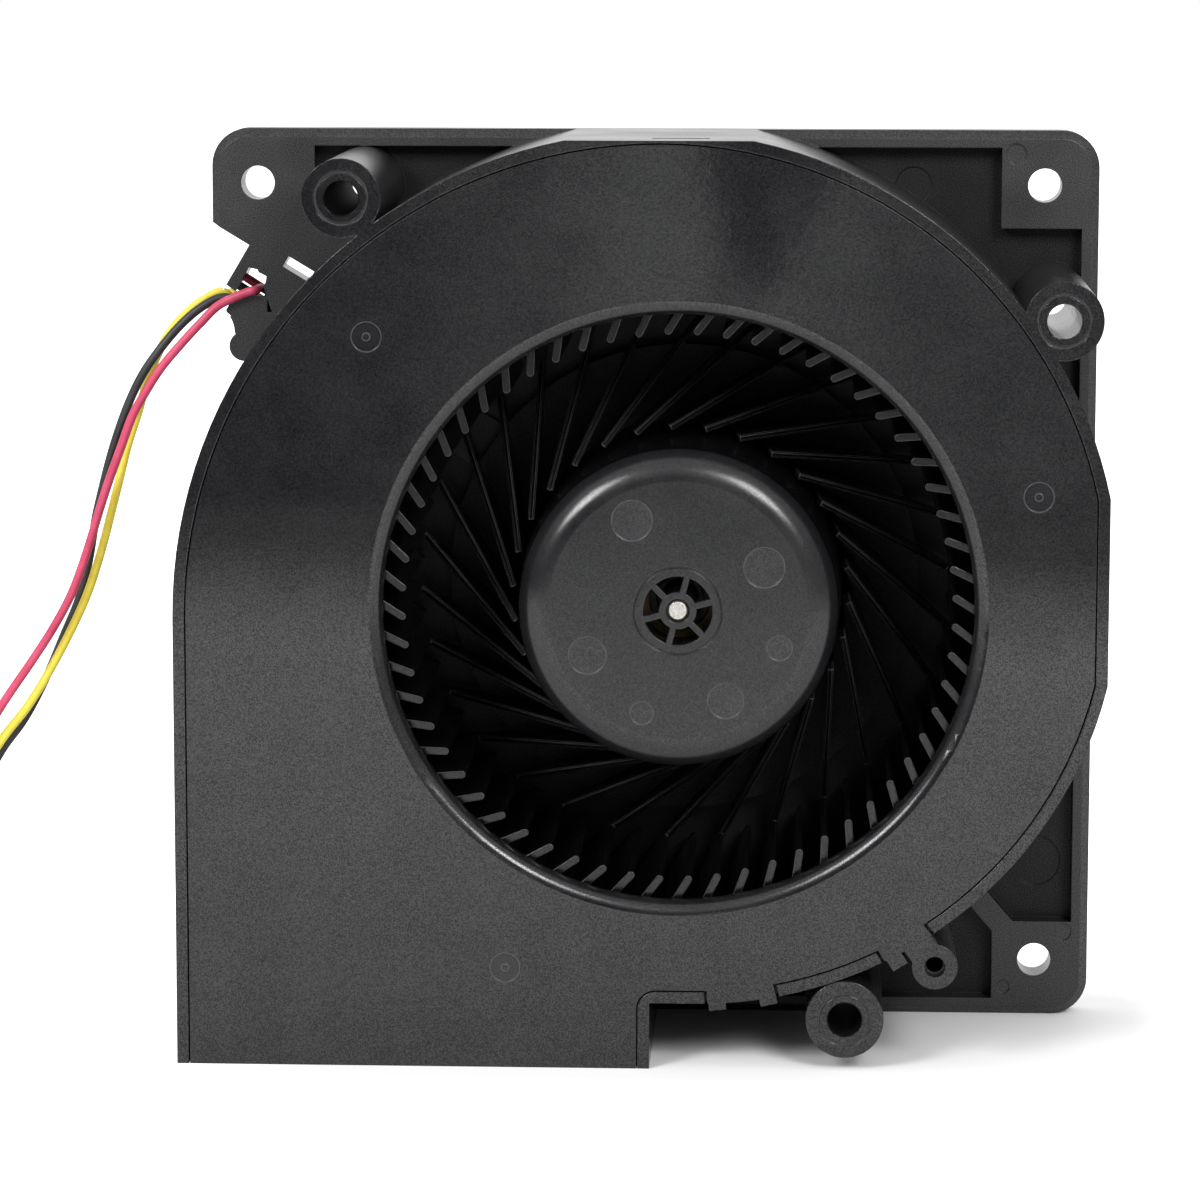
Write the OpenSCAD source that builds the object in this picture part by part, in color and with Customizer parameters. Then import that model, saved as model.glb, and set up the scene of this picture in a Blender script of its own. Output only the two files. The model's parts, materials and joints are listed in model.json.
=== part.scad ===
// Centrifugal blower with an external-rotor direct-current motor and three free leads.
// It stands on its outlet mouth: X to the right, Y away from the inlet, Z up.
// The origin is below the middle of the casing, on the surface that it stands on.

/* [Casing] */
// Overall width, outlet wall to plate edge
case_w = 120; // [118:1:126]
// Overall height, outlet mouth to top edge
case_h = 120; // [118:1:126]
// Overall depth, rear face to cover face
case_d = 38; // [36:1:44]
// Thickness of the rear floor
floor_t = 2.2; // [2:0.1:2.8]
// Height of the plate's rim and corner pads above the rear face
rim_h = 5.2; // [4.6:0.1:7]
// Width of the plate's rim
rim_w = 2.3; // [1.8:0.1:3]
// Bevel on the rim's outer edge
rim_bevel = 1.1; // [0.4:0.1:1.5]
// Corner radius of the plate
plate_corner_r = 5; // [3:0.5:7]
// Set-back of the plate's left edge behind the outlet wall
plate_inset = 1.5; // [0.5:0.1:2.5]

/* [Scroll] */
// Rotor axis, to the right of the casing's middle
axis_x = 5; // [4:0.25:6]
// Rotor axis, above the outlet mouth
axis_z = 60; // [58:0.5:62]
// Outer scroll radius straight below the axis
scroll_bottom = 51.3; // [51:0.1:52.5]
// Outer scroll radius to the right of the axis
scroll_right = 56.3; // [55.5:0.1:57.5]
// Outer scroll radius above the axis
scroll_top = 61.2; // [60.5:0.1:62]
// Rise of the first arc centres above the axis
scroll_lift = 2.5; // [2:0.1:3]
// Thickness of the scroll wall
wall_t = 2.4; // [2:0.1:2.8]
// Width of the wall's bare rim beside the cover
wall_rim = 1.5; // [1.2:0.1:1.8]
// Outer face of the outlet's right wall, from the casing's middle
outlet_right = 1.5; // [0:0.1:2]
// Extra rounding of the scroll's tongue
tongue_extra = 0.8; // [0.2:0.1:1.2]

/* [Mounting] */
// Spacing of the plate's corner holes
hole_pitch = 105; // [103:0.5:107]
// Distance of the corner holes from the top and right edges
hole_margin = 7.25; // [6.5:0.25:8]
// Diameter of the corner holes
hole_d = 4.5; // [3.5:0.1:5]
// Side of the square corner pads
pad_w = 13; // [12:0.5:15]
// Outer diameter of the tall screw bosses
boss_d = 10.1; // [9:0.1:11]
// Bore of the tall screw bosses
boss_bore = 4.4; // [3.5:0.1:5]
// Ring mark round the bore at the front of a boss
boss_ring_d = 6.9; // [6:0.1:8]

/* [Cover] */
// Thickness of the front cover
cover_t = 2; // [1.6:0.1:2.4]
// Gap between the cover and the wall's rim
cover_gap = 0.2; // [0.1:0.05:0.4]
// Radius of the round inlet
inlet_r = 38; // [36:0.25:39]
// Rounding of the inlet's lip
lip_r = 1.8; // [1:0.1:2]
// Depth of the inlet's lip below the cover face
lip_depth = 2.6; // [2.4:0.1:2.8]
// Hole in the cover's ear
ear_hole_d = 2.7; // [2:0.1:3]
// Outer radius of the cover's ear
ear_r = 2.95; // [2.5:0.05:3.2]
// Distance of the ear's hole outside the scroll wall
ear_out = 3.8; // [3.4:0.1:4.4]

/* [Impeller] */
// Number of long blades, with a short one between each pair
long_blades = 30; // [24:1:32]
// Outer radius of the blade rings
tip_r = 45.5; // [44:0.25:46]
// Radius where the ribs of the long blades begin
long_r = 22; // [21.8:0.1:23]
// Radius where the full-height blade fronts begin
stub_r = 35.3; // [34:0.1:36]
// Radius of the circle that every blade lies tangent to
lean_r = 20; // [17:0.25:21]
// Thickness of a blade
blade_t = 0.95; // [0.7:0.05:1.1]
// Height of a rib above the rear face, beside the hub
rib_high = 22.7; // [18:0.1:26]
// Height of a rib above the rear face, where it meets its blade
rib_low = 6.9; // [6.4:0.1:10]
// Radius of the hub at its front
hub_r = 20.7; // [20.5:0.1:21]
// Growth of the hub's radius towards its base
hub_draft = 0.9; // [0.4:0.1:1.2]
// Rounding of the hub's front edge
hub_round = 4; // [2:0.25:4.25]
// Radius of the impeller's back disc
disc_r = 31.5; // [28:0.5:33]
// Thickness of the impeller's back disc and rings
disc_t = 1.4; // [1:0.1:1.6]
// Height of the impeller's rear side above the rear face
disc_h = 4.3; // [4.2:0.1:5]
// Distance of the blade fronts behind the cover face
blade_front_drop = 3.6; // [3.4:0.1:4.5]
// Distance of the hub's face behind the cover face
hub_drop = 0.6; // [0.2:0.1:1.5]

/* [Motor] */
// Diameter of the shaft
shaft_d = 3; // [2.8:0.1:3.2]
// Outer diameter of a ball bearing
bearing_od = 8; // [7.8:0.1:8.4]
// Width of a ball bearing
bearing_w = 4; // [3:0.25:4]
// Wall of the bearing tube
tube_wall = 1; // [0.8:0.1:1.2]
// Outer radius of the rotor's steel cup
yoke_r = 19; // [18.6:0.1:19.1]
// Wall of the rotor's steel cup
yoke_t = 1.2; // [0.8:0.1:1.4]
// Thickness of the ring magnet
magnet_t = 1.8; // [1.4:0.1:2]
// Air gap between the stator and the magnet
air_gap = 0.5; // [0.3:0.05:0.7]
// Height of the stator's sheet stack
stack_h = 10; // [8:0.5:11]
// Thickness of the circuit board
board_t = 1.2; // [1:0.1:1.6]

/* [Leads] */
// Diameter of one lead
lead_d = 1.2; // [1:0.1:1.3]
// Depth of the groove that holds the leads in the rear face
groove_depth = 1.6; // [1.55:0.05:1.8]
// Width of the groove that holds the leads
groove_w = 4.6; // [4.4:0.1:5.4]

/* [Hidden] */
$fn = 96;

// Clearance of a push fit, on the radius
fit = 0.02;
// Overrun of a cut past the face that it opens
over = 1;

// Scroll: three tangent arcs about the axis, each as [centre x, centre z, radius]
scroll_left = axis_x + case_w / 2;
arc1_x = scroll_right - scroll_bottom - scroll_lift;
arc2_x = scroll_lift - (scroll_top - scroll_right);
arc3_z = -(scroll_left - scroll_top) - arc2_x;
arc1 = [arc1_x, scroll_lift, scroll_bottom + scroll_lift];
arc2 = [arc2_x, scroll_lift, scroll_right - arc2_x];
arc3 = [arc2_x, arc3_z, scroll_top - arc3_z];
mouth_x = outlet_right - axis_x;
// Least wall left beside the cover at the flat top
flat_rim = 0.25;
throat_z = arc1[1] - arc1[2];

// Heights above the rear face
cover_z = case_d - cover_t;
blade_z = case_d - blade_front_drop;
hub_z = case_d - hub_drop;

// Cover: snap tabs, ear and the openings for them in the wall's rim, as angles about the axis
tab_gap_a = [274.1, 284.9];
ear_gap_a = [300.2, 308.6];
tab_angles = [275.9, 283.2, 302.1];
tab_w = 2.2;
tab_out = [0.9, 0.9, 1.6];
ear_a = 305.9;
ear_arm_w = 4;
tab_play_a = 0.45;
post_pilot_d = 2.2;
post_pilot_depth = 12;
gate_marks = [[-34.8, 95], [50.9, 75], [-17.2, 13.2]];
gate_r = 1.9;
gate_depth = 0.25;
gate_nub_r = 0.5;

// Plate edges, corner holes and pads
plate_left = -case_w / 2 + plate_inset;
plate_right = case_w / 2;
hole_right = plate_right - hole_margin;
hole_top = case_h - hole_margin;
hole_places = [[hole_right - hole_pitch, hole_top], [hole_right, hole_top], [hole_right, hole_top - hole_pitch]];
pad_top = case_h - pad_w;
pad_in = plate_right - pad_w;
left_pad_reach = 7.65;
pad_arm_w = 3;
pad_arm_len = 22;
pad_arm_a = 131;
pad_arm_shift = 0.6;
top_mark_in = 24.6;
top_mark_down = 7.4;
top_mark_r = 2.4;
side_mark_in = 7.2;
side_mark_up = 20.9;
side_mark_r = 3.45;
pocket_marks = [
    [plate_right - top_mark_in, case_h - top_mark_down, top_mark_r],
    [plate_right - side_mark_in, side_mark_up, side_mark_r]
];
pad_marks = [[case_w / 2 - 3.4, 11.6, 1.15], [case_w / 2 - 11.4, 3.9, 0.9], [case_w / 2 - 11.1, case_h - 3.1, 1.35]];

// Screw bosses, tied to the edge or the axis that each one belongs to
left_boss_in = 20.6;
left_boss_down = 7.4;
right_boss_in = 6.2;
right_boss_down = 22.6;
low_boss_out = 21.8;
low_boss_up = 6.8;
boss_places = [
    [plate_left + left_boss_in, case_h - left_boss_down],
    [plate_right - right_boss_in, case_h - right_boss_down],
    [axis_x + low_boss_out, low_boss_up]
];
boss_ring_depth = 0.2;
ring_mark_w = 0.25;

// Clip that holds the leads, from the plate's upper left corner
clip_place = [plate_left, case_h];
clip_top = -12.6;
clip_neck = [5, -15.6];
clip_arm = [clip_neck, [1.84, -20.93], [3, -21.73], [3.4, -21.56], [4.9, -18.6], [6.6, -19], [6.3, -16.6]];
clip_slot = [[4.9, -18.6], [7.27, -19.76], [7.22, -20.33], [6.85, -21.4], [6.85, -22.2], [5.6, -25.2], [-1.5, -25.2],
    [-1.5, -20.93], [1.84, -20.93], [3, -21.73], [3.4, -21.56]];
clip_foot = [[8.5, -24.6], [1.85, -24.6], [2.25, -25.1], [2.6, -25.76], [2.85, -26.5], [2.94, -27.3], [3.2, -28],
    [6.5, -33], [12.5, -30]];
clip_bulge = [4.2, -29.2];
clip_bulge_r = 2;
// Thin lip over the slot, and the hollow behind the arm's tip, where the leads pass
clip_lip = [[1.85, -24.6], [1.81, -24.3], [2.5, -23.1], [3.4, -22.65], [5, -22.45], [7.4, -22.45], [7.4, -25.6], [3, -25.6]];
clip_lip_t = 0.8;
clip_hollow = [[-1.5, -22], [4.3, -20.2]];
clip_tip_t = 2.2;
clip_body_x = 8;
clip_low = -34;
vent_slot = [11.6, -18.8];
vent_slot_size = [4, 1.6];
vent_slot_a = -31;

// Latch recess in the flat top of the scroll, sunk by half of its height
latch_size = [7.4, 1, 1.6];
latch_z = case_d - 7;

// Hub face: collar, spokes, ring and round moulding marks, as [angle, radius from the axis, mark radius]
collar_r = 2.4;
spoke_ring_r = 4.45;
spoke_rim_r = 5.5;
spoke_w = 0.8;
spokes = 6;
spoke_turn = 15;
blade_turn = 4.2;
hub_face_t = 2;
mark_depth = 0.15;
hub_marks = [[117, 13, 2.6], [27, 12.4, 2.6], [207, 13, 2.4], [251, 14.1, 1.5], [298, 13.2, 2.3], [340, 13.9, 1.6]];
rib_t = 0.8;
rib_edge_t = 0.4;
rib_edge_h = 0.35;
rib_root = 0.8;
ring_w = 2.6;

// Motor, from the rear face forward
tube_bore = bearing_od / 2 + fit;
tube_r = tube_bore + tube_wall;
tube_z = 1.2;
bearing_ledge_r = tube_bore - 0.7;
bearing_span = 18.6;
rear_bearing_z = 2.5;
front_bearing_z = rear_bearing_z + bearing_span;
tube_top = front_bearing_z + bearing_w + 2;
seat_wall = 2.2;
board_z = 8;
board_r = 15;
stack_z = 13;
insulator_t = 0.8;
coil_over = 1.8;
hub_inner_z = hub_z - hub_face_t;
yoke_z = 11;
yoke_hole_r = 6.2;
yoke_in = yoke_r - yoke_t;
magnet_out = yoke_in - fit;
magnet_in = magnet_out - magnet_t;
magnet_len = 16.5;
stator_r = magnet_in - air_gap;
poles = 4;
pole_neck_w = 4.6;
pole_span_a = 76;
shoe_t = 2.2;
core_hub_t = 2.6;
coil_t = 2.2;
coil_in_r = 8.8;
spool_wall = 0.6;
spool_gap = 0.1;
spool_half_w = pole_neck_w / 2 + spool_wall + 3 * fit;
coil_half_w = spool_half_w + coil_t;
coil_out_r = sqrt(pow(stator_r - shoe_t - spool_gap, 2) - coil_half_w * coil_half_w);
shaft_z = 1.5;
clip_groove_z = 1.95;
clip_t = 0.4;
clip_groove_r = shaft_d / 2 - 0.35;
spring_t = 0.3;
spring_h = 1.6;
collar_z = front_bearing_z + bearing_w + spring_h + 2 * fit;

// Window in the floor where the leads leave the circuit board, and the groove to the clip
window_left = 10.3;
window_up = 7;
window = [axis_x - window_left, axis_z + window_up];
groove_in = 5.4;
groove_down = 22.8;
groove_end = clip_place + [groove_in, -groove_down];
window_d = 7.4;
groove_len = norm(groove_end - window);
groove_a = atan2(groove_end[1] - window[1], groove_end[0] - window[0]);
groove_cover_t = 1.2;
lane = 1.4;

// Held ends of the leads: points as [across from the casing's middle, height, distance from the rear face]
tail_rest_h = 0.8;
tail_bend = 1.2;
tail_lift = 0.6;
tail_step = 0.3;
groove_way = [cos(groove_a), sin(groove_a)];
across = [sin(groove_a), -cos(groove_a)];
function tail_route(side, exit) = let (start = window + across * side, end = groove_end + across * side) [
    concat(start, board_z),
    concat(start, tail_rest_h + tail_bend),
    concat(start + tail_bend * groove_way, tail_rest_h),
    concat(end - tail_bend * groove_way, tail_rest_h),
    concat(end, tail_rest_h + tail_lift),
    concat(end - [tail_step, 0], exit[2] - tail_step),
    concat(end - [tail_bend + tail_step, tail_step], exit[2]),
    exit];
red_exit = concat(clip_place + [1, -23.6], 6);
black_exit = concat(clip_place + [1, -22.8], 3.6);
yellow_exit = concat(clip_place + [1, -22.1], 2.2);

// Free leads: points of each route, from the clip to the coil and from the coil to the connector
red_points = [[-57.5, 13, 96.4], [-60, 12.5, 94], [-62.6, 12.2, 91.2], [-65.3, 12, 88], [-67.4, 12, 84.8],
    [-69.3, 12, 81.4], [-70.8, 12, 77.4], [-72.3, 12, 73.4], [-73.8, 12, 69], [-75.7, 12, 63], [-77.8, 12, 57.4],
    [-80.4, 12, 52.6], [-83.4, 12, 48], [-87.4, 12, 42.2], [-91.6, 12.4, 35.4], [-96, 13.4, 27.8],
    [-100.6, 14.8, 20.2], [-106, 15.7, 14.3], [-113, 16.4, 10.2]];
yellow_points = [[-57.5, 16.8, 97.9], [-60.4, 16.5, 96.6], [-62.8, 16.2, 94.6], [-64.8, 16, 92.2], [-66.4, 16, 89.2],
    [-67.8, 16, 85.8], [-69, 15.8, 81.6], [-70.4, 15.2, 77.2], [-71.4, 14.6, 73], [-72.4, 14.2, 69], [-74, 14, 63],
    [-76, 14, 57], [-78.6, 14, 51.4], [-81.6, 14, 45.9], [-84.6, 14, 41.2], [-88.2, 14, 36.6], [-92, 14.2, 30.4],
    [-96.2, 14.8, 23.6], [-100.6, 15.6, 17], [-106, 16.2, 11.6], [-113, 16.4, 8.3]];
black_points = [[-57.5, 15.4, 97.2], [-60.2, 15, 95.9], [-62.9, 14.6, 93.6], [-65.5, 14.2, 90.6], [-67.8, 14, 87.4],
    [-69.6, 14, 84], [-71.2, 14, 80], [-72.6, 14.2, 75.8], [-73.8, 14.8, 71.6], [-75, 15.6, 67], [-76, 16, 61.6],
    [-77.4, 16, 56.2], [-79.6, 16, 51], [-82.2, 16, 45], [-85.2, 16, 39.4], [-88.4, 16, 35], [-91.8, 16.4, 29],
    [-95.8, 16.6, 21.8], [-100.2, 16.6, 14.8], [-105.8, 16.4, 9.2], [-113, 16.4, 6.4]];
red_end = [[-115.1, 38.9, 4.6], [-112.6, 39.5, 4.4], [-109.3, 40.3, 2.8], [-106.7, 40.4, 2.6]];
yellow_end = [[-115.1, 38.8, 2.75], [-112.6, 38.6, 2.7], [-109.3, 37.8, 2.6], [-106.7, 37.9, 2.6]];
black_end = [[-115.1, 38.8, 1.1], [-112.6, 37.7, 1.2], [-109.3, 35.4, 2.4], [-106.7, 35.4, 2.6]];
// The first points of a route move with the clip, and the rest stay where they lie
followers = 8;
function free_route(points, exit) = let (start = [exit[0], case_d / 2 - exit[2], exit[1]])
    [for (i = [0 : len(points) - 1]) points[i] + (start - points[0]) * max(0, 1 - i / followers)];
lead_sides = 8;
coil_place = [-122, 25.4];
coil_inner_r = 8.2;
coil_outer_r = 14.2;
coil_rest = 0.3;
coil_h = 5;
tie_t = 0.3;
tie_w = 3;
tie_play = 0.05;
connector_place = [-108.3, 37.9];
connector_size = [12, 9, 5.2];
connector_pitch = 2.5;
contact_w = 1.9;
contact_play = 0.05;
contact_z = 2.6;
contact_len = 9;

// Colours
plastic = [0.16, 0.16, 0.17];
hub_plastic = [0.12, 0.12, 0.13];
steel = [0.72, 0.71, 0.69];
brass = [0.78, 0.64, 0.33];
copper = [0.72, 0.40, 0.20];
ferrite = [0.22, 0.21, 0.21];
nylon = [0.86, 0.83, 0.74];
board_green = [0.10, 0.36, 0.20];
chip_black = [0.08, 0.08, 0.08];
lead_red = [0.80, 0.13, 0.26];
lead_yellow = [0.90, 0.78, 0.16];
lead_black = [0.13, 0.13, 0.13];

// Frames

// Turns a shape drawn on its back, rear face down, to stand on the outlet mouth
module stand() {
    translate([0, case_d / 2, 0]) rotate([90, 0, 0]) children();
}

// Same, with the origin on the rotor axis
module on_axis() {
    stand() translate([axis_x, axis_z, 0]) children();
}

// Outlines

module quarter(arc, inset, right, up) {
    r = arc[2] - inset;
    translate([arc[0], arc[1]]) intersection() {
        circle(r);
        translate([right ? 0 : -r, up ? 0 : -r]) square(r);
    }
}

module block(from, to) {
    translate(from) square(to - from);
}

// Scroll and outlet seen from the front, drawn in by inset, with the mouth carried on by mouth
module scroll_area(inset, mouth = 0) {
    nose_r = inset + tongue_extra;
    left = -scroll_left + inset;
    intersection() {
        translate([axis_x, axis_z]) {
            quarter(arc1, inset, true, false);
            quarter(arc2, inset, true, true);
            quarter(arc3, inset, false, true);
            block([left, -axis_z - mouth], [mouth_x - inset, arc3[1]]);
            block([left, -axis_z / 2], [arc2[0], arc3[1]]);
            block([mouth_x - inset, throat_z + inset], [arc1[0], arc1[1]]);
            if (inset > 0) translate([mouth_x - inset, throat_z + inset]) difference() {
                translate([0, -nose_r]) square(nose_r);
                translate([nose_r, -nose_r]) circle(nose_r);
            }
        }
        block([-case_w / 2 + inset, -mouth], [case_w / 2 - inset, case_h - min(inset, flat_rim)]);
    }
}

// Wedge about the rotor axis that reaches past the scroll
module wedge(angles) {
    reach = case_w;
    translate([axis_x, axis_z])
        polygon([[0, 0], reach * [cos(angles[0]), sin(angles[0])], reach * [cos(angles[1]), sin(angles[1])]]);
}

// Outer scroll radius at an angle on the first arc
function first_arc_r(a) = let (d = arc1[0] * cos(a) + arc1[1] * sin(a))
    d + sqrt(d * d - arc1[0] * arc1[0] - arc1[1] * arc1[1] + arc1[2] * arc1[2]);

module cover_ear_place() {
    translate([axis_x, axis_z]) rotate(ear_a) translate([first_arc_r(ear_a) + ear_out, 0]) children();
}

module ring(outer, inner, height) {
    difference() {
        cylinder(r = outer, h = height);
        translate([0, 0, -over]) cylinder(r = inner, h = height + 2 * over);
    }
}

// Housing

// Slab with rounded corners and a bevelled front edge
module bevelled_slab(height) {
    low = height - rim_bevel;
    xs = [plate_left + plate_corner_r, plate_right - plate_corner_r];
    ys = [plate_corner_r, case_h - plate_corner_r];
    translate([xs[0], 0, 0]) rotate([90, 0, 90]) linear_extrude(xs[1] - xs[0])
        polygon([[0, 0], [case_h, 0], [case_h, low], [case_h - rim_bevel, height], [rim_bevel, height], [0, low]]);
    translate([0, ys[1], 0]) rotate([90, 0, 0]) linear_extrude(ys[1] - ys[0])
        polygon([[plate_left, 0], [plate_right, 0], [plate_right, low], [plate_right - rim_bevel, height],
            [plate_left + rim_bevel, height], [plate_left, low]]);
    for (x = xs, y = ys) translate([x, y, 0]) {
        cylinder(r = plate_corner_r, h = low);
        translate([0, 0, low]) cylinder(r1 = plate_corner_r, r2 = plate_corner_r - rim_bevel, h = rim_bevel);
    }
}

// Sunk areas of the plate between the rim, the corner pads and the scroll
module pockets() {
    difference() {
        block([hole_places[0][0] + left_pad_reach, rim_w], [plate_right - rim_w, case_h - rim_w]);
        block([pad_in, pad_top], [plate_right, case_h]);
        block([pad_in, 0], [plate_right, pad_w]);
        translate([pad_in, pad_w]) rotate(pad_arm_a) translate([-pad_arm_w, -pad_arm_shift - pad_arm_w / 2])
            square([pad_arm_len, pad_arm_w]);
        block([plate_left, 0], boss_places[0]);
        scroll_area(0);
    }
}

module clip_outline() {
    polygon(clip_arm);
    polygon(clip_foot);
    translate(clip_bulge) circle(clip_bulge_r);
}

module plate() {
    difference() {
        bevelled_slab(rim_h);
        translate([0, 0, floor_t]) linear_extrude(rim_h) pockets();
        for (m = pocket_marks) translate([m[0], m[1], floor_t - mark_depth]) cylinder(r = m[2], h = rim_h);
        for (m = pad_marks) translate([m[0], m[1], rim_h - mark_depth]) cylinder(r = m[2], h = over);
        translate([0, 0, -over]) linear_extrude(rim_h + 2 * over) difference() {
            translate(clip_place) polygon([[-case_w, -2 * case_h], [-case_w, clip_top], [0, clip_top], clip_neck,
                [clip_body_x, clip_foot[0][1]], [clip_body_x, clip_low], [case_w / 2, clip_low], [case_w / 2, -2 * case_h]]);
            scroll_area(0);
        }
    }
    difference() {
        translate(clip_place) linear_extrude(rim_h) clip_outline();
        translate([0, 0, -over]) linear_extrude(rim_h + 2 * over) scroll_area(wall_t);
    }
}

module boss(place) {
    translate(place) cylinder(d = boss_d, h = case_d);
}

module boss_cuts(place) {
    translate(place) {
        translate([0, 0, -over]) cylinder(d = boss_bore, h = case_d + 2 * over);
        translate([0, 0, case_d - boss_ring_depth])
            ring(boss_ring_d / 2, boss_ring_d / 2 - ring_mark_w, boss_ring_depth + over);
    }
}

// Groove in the rear face from the board's window to the clip, and the strip that covers it inside
module groove(width, height) {
    translate(window) rotate(groove_a) translate([0, -width / 2, 0]) cube([groove_len, width, height]);
}

module motor_seat() {
    translate([axis_x, axis_z]) cylinder(r = tube_r + seat_wall, h = board_z);
}

module motor_seat_cuts() {
    translate([axis_x, axis_z]) {
        translate([0, 0, tube_z]) cylinder(r = tube_r + fit, h = board_z);
        translate([0, 0, -over]) cylinder(r = tube_bore + fit, h = board_z);
    }
    translate(concat(window, -over)) cylinder(d = window_d, h = board_z);
}

module housing() {
    color(plastic) stand() difference() {
        union() {
            difference() {
                union() {
                    plate();
                    linear_extrude(case_d) scroll_area(0);
                    for (place = boss_places) boss(place);
                    linear_extrude(cover_z) cover_ear_place() {
                        circle(ear_r);
                        translate([-ear_out - wall_t / 2, -ear_r / 2]) square([ear_out, ear_r]);
                    }
                }
                translate([0, 0, floor_t]) linear_extrude(case_d) scroll_area(wall_t, over);
                translate([0, 0, cover_z]) linear_extrude(cover_t + over) {
                    scroll_area(wall_rim, over);
                    wedge(tab_gap_a);
                    wedge(ear_gap_a);
                }
            }
            motor_seat();
            groove(groove_w + 2 * groove_cover_t, groove_depth + groove_cover_t);
        }
        for (place = hole_places) translate(concat(place, -over)) cylinder(d = hole_d, h = rim_h + 2 * over);
        for (place = boss_places) boss_cuts(place);
        translate([0, 0, cover_z - post_pilot_depth]) linear_extrude(case_d)
            cover_ear_place() circle(d = post_pilot_d);
        motor_seat_cuts();
        translate([0, 0, -over]) groove(groove_w, groove_depth + over);
        translate([0, 0, -over]) linear_extrude(rim_h + 2 * over) {
            translate(clip_place) polygon(clip_slot);
            difference() {
                translate(clip_place + vent_slot) rotate(vent_slot_a) square(vent_slot_size, center = true);
                scroll_area(0);
            }
        }
        translate(concat(clip_place, -over)) linear_extrude(rim_h - clip_tip_t + over) block(clip_hollow[0], clip_hollow[1]);
        translate([axis_x, case_h, latch_z]) cube(latch_size, center = true);
    }
    color(plastic) stand() translate(concat(clip_place, rim_h - clip_lip_t)) linear_extrude(clip_lip_t) polygon(clip_lip);
}

// Cover

module cover_outline() {
    difference() {
        scroll_area(wall_rim + cover_gap);
        translate([axis_x, axis_z]) circle(inlet_r + lip_r);
    }
    for (gap = [tab_gap_a, ear_gap_a]) intersection() {
        wedge([gap[0] + tab_play_a, gap[1] - tab_play_a]);
        difference() {
            scroll_area(0);
            scroll_area(wall_rim + 2 * cover_gap);
        }
    }
    for (i = [0 : len(tab_angles) - 1]) translate([axis_x, axis_z]) rotate(tab_angles[i])
        translate([first_arc_r(tab_angles[i]) - wall_rim, -tab_w / 2]) square([wall_rim + tab_out[i], tab_w]);
    cover_ear_place() {
        circle(ear_r);
        translate([-ear_out - wall_rim, -ear_arm_w / 2]) square([ear_out + wall_rim, ear_arm_w]);
    }
}

module front_cover() {
    lip_low = case_d - lip_depth;
    color(plastic) stand() difference() {
        union() {
            translate([0, 0, cover_z]) linear_extrude(cover_t) cover_outline();
            translate([axis_x, axis_z, 0]) rotate_extrude() {
                translate([inlet_r + lip_r, case_d - lip_r]) circle(lip_r);
                block([inlet_r, lip_low], [inlet_r + lip_r, case_d - lip_r]);
                block([inlet_r + lip_r, cover_z], [inlet_r + lip_r + over, case_d]);
            }
        }
        translate([0, 0, cover_z - over]) linear_extrude(cover_t + 2 * over) cover_ear_place() circle(d = ear_hole_d);
        for (place = gate_marks) translate(concat(place, case_d - gate_depth))
            ring(gate_r, gate_nub_r, gate_depth + over);
    }
}

// Impeller

// Distance along a blade, from the foot of its tangent, at a radius
function along(r) = sqrt(r * r - lean_r * lean_r);

blade_foot = disc_h + 0.2;
blade_tip = along(tip_r - 0.6);

// Upright blade with a round inner end
module blade() {
    inner = along(stub_r) + blade_t / 2;
    translate([0, lean_r, blade_foot]) linear_extrude(blade_z - blade_foot) {
        translate([inner, -blade_t / 2]) square([blade_tip - inner, blade_t]);
        translate([inner, 0]) circle(d = blade_t);
    }
}

// Flat rib that slopes from the hub down to its blade, drawn as length and height and stood on the blade's line
module rib(thickness, drop) {
    outer = along(stub_r) + blade_t / 2;
    translate([0, lean_r, 0]) rotate([90, 0, 0]) translate([0, 0, -thickness / 2]) linear_extrude(thickness)
        polygon([[along(long_r - rib_root), blade_foot], [outer, blade_foot], [outer, rib_low - drop],
            [along(long_r), rib_high - drop]]);
}

// Cross-section of the hub cup with its back disc
module hub_section() {
    foot_r = hub_r + hub_draft;
    difference() {
        union() {
            polygon([[0, disc_h], [foot_r, disc_h], [hub_r, hub_z - hub_round], [hub_r - hub_round, hub_z], [0, hub_z]]);
            translate([hub_r - hub_round, hub_z - hub_round]) circle(hub_round);
            block([0, disc_h], [disc_r, disc_h + disc_t]);
        }
        block([0, -over], [yoke_r + fit, hub_inner_z]);
        block([0, hub_inner_z - over], [spoke_ring_r, hub_z + over]);
        block([-2 * case_w, -case_d], [0, 2 * case_d]);
    }
}

module impeller() {
    color(hub_plastic) on_axis() difference() {
        union() {
            rotate_extrude() hub_section();
            for (i = [0 : long_blades - 1]) {
                rotate(i * 360 / long_blades + blade_turn) {
                    blade();
                    rib(rib_t, rib_edge_h);
                    rib(rib_edge_t, 0);
                }
                rotate((i + 0.5) * 360 / long_blades + blade_turn) blade();
            }
            translate([0, 0, disc_h]) ring(tip_r, tip_r - ring_w, disc_t);
            translate([0, 0, blade_z - disc_t]) ring(tip_r, tip_r - ring_w, disc_t);
            translate([0, 0, collar_z]) cylinder(r = collar_r, h = hub_z - collar_z);
            for (i = [0 : spokes - 1]) rotate(i * 360 / spokes + spoke_turn)
                translate([collar_r - 0.4, -spoke_w / 2, hub_inner_z])
                    cube([spoke_rim_r - collar_r, spoke_w, hub_face_t]);
        }
        translate([0, 0, collar_z - over]) cylinder(d = shaft_d + 2 * fit, h = case_d);
        for (m = hub_marks) rotate(m[0]) translate([m[1], 0, hub_z - mark_depth]) cylinder(r = m[2], h = over);
        translate([0, 0, hub_z - mark_depth]) ring(spoke_rim_r + ring_mark_w, spoke_rim_r, over);
    }
}

// Rotor

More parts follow.
